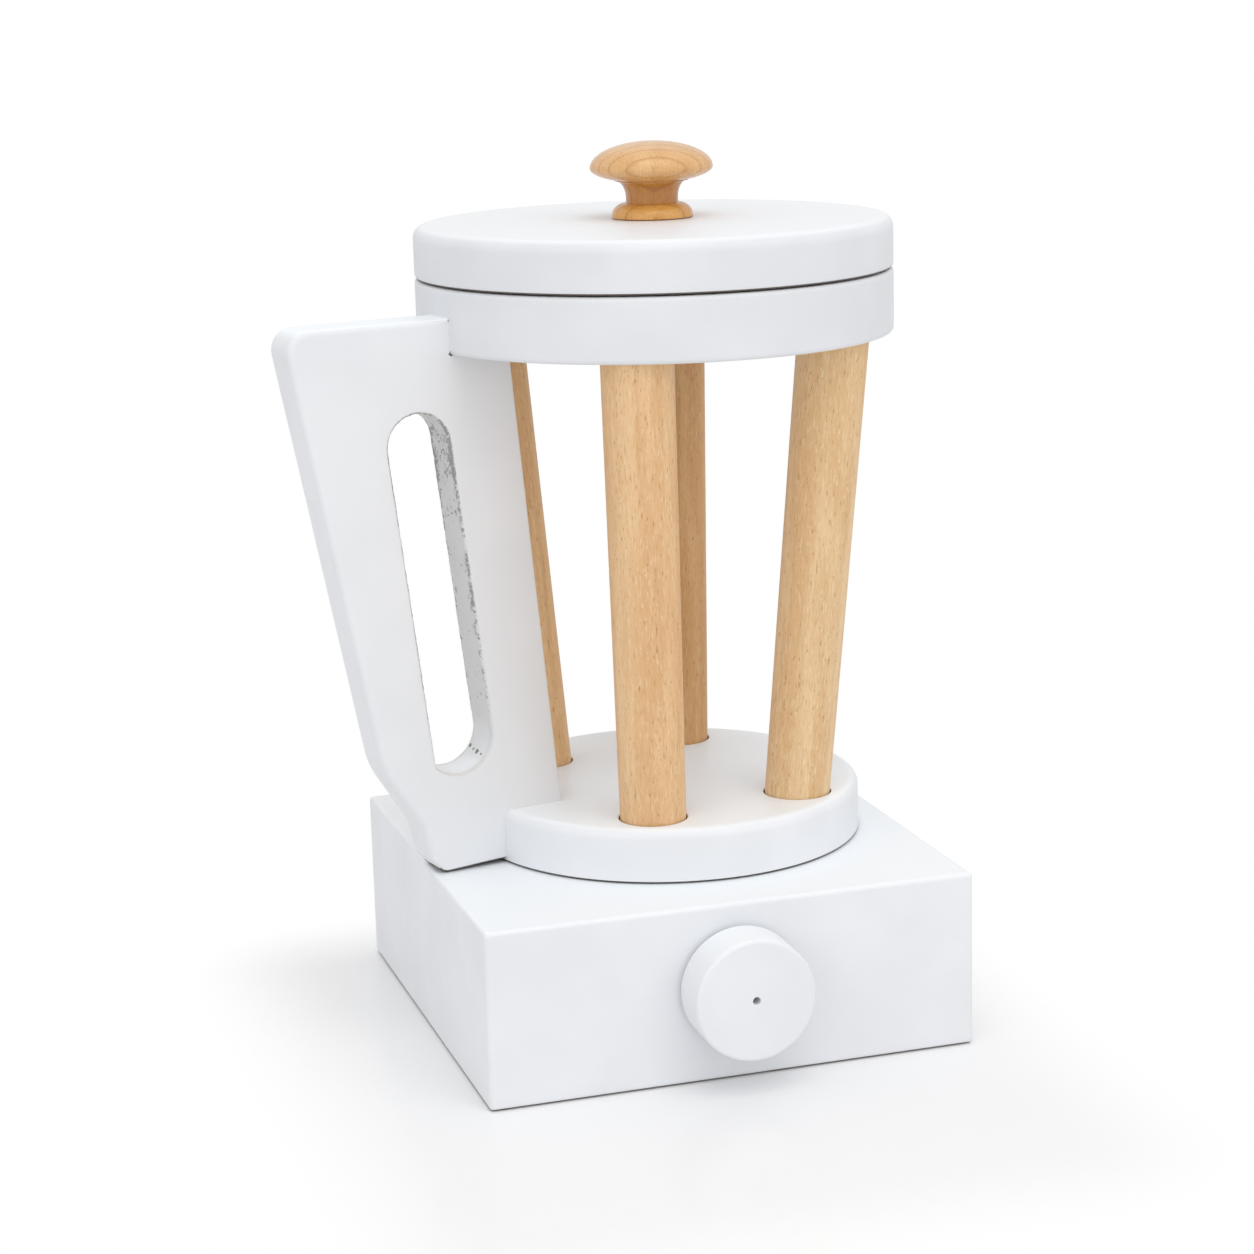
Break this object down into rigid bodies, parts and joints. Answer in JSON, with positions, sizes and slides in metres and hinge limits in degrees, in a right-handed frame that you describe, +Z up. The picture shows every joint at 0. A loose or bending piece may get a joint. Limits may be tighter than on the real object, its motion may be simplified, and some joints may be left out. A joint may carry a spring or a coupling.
{
  "type": "toy blender",
  "caption": "Wooden play blender: square white base with a turning dial, open jar of leaning dowels with a slotted handle, and a lift-off lid with a turned knob.",
  "frame": {"origin": "centre of the underside of the square base, on the surface it stands on", "axes": "+Z up; -Y is the front, where the dial is; the handle is on the left, towards -X"},
  "size_m": [0.1623, 0.1421, 0.2243],
  "materials": {
    "white_paint": "satin white paint on wood",
    "natural_wood": "clear satin varnish, fine pores",
    "plain_board": "bare sanded board",
    "screw_steel": "zinc plated",
    "spacer_felt": "pressed felt"
  },
  "bodies": {
    "base": {"base_top_board": "white_paint", "base_front_board": "white_paint", "base_back_board": "white_paint", "base_left_board": "white_paint", "base_right_board": "white_paint", "base_bottom_board": "plain_board", "base_corner_blocks": "plain_board", "base_bottom_screws": "screw_steel"},
    "dial": {"dial_knob": "white_paint", "dial_spacer": "spacer_felt", "dial_screw": "screw_steel", "dial_washer": "screw_steel"},
    "peg": {"jar_peg": "natural_wood"},
    "jar": {"jar_disc": "white_paint", "dowel_front_left": "natural_wood", "dowel_front_right": "natural_wood", "dowel_back_right": "natural_wood", "dowel_back_left": "natural_wood", "jar_ring": "white_paint", "handle_plate": "white_paint", "handle_disc_pin": "natural_wood", "handle_ring_pin": "natural_wood"},
    "lid": {"lid_disc": "white_paint", "lid_plug": "white_paint", "lid_knob": "natural_wood", "lid_knob_screw": "screw_steel"}
  },
  "joints": [
    {"name": "dial_turn", "type": "hinge", "parent": "base", "child": "dial", "pos_m": [0.0005, -0.063, 0.0243], "axis": [0, -1, 0], "continuous": true},
    {"name": "jar_turn", "type": "hinge", "parent": "base", "child": "peg", "pos_m": [0.005, 0.005, 0.045], "axis": [0, 0, 1], "continuous": true},
    {"name": "jar_lift", "type": "slide", "parent": "peg", "child": "jar", "axis": [0, 0, 1], "range_m": [0, 0.06]},
    {"name": "lid_lift", "type": "slide", "parent": "jar", "child": "lid", "axis": [0, 0, 1], "range_m": [0, 0.06]}
  ]
}
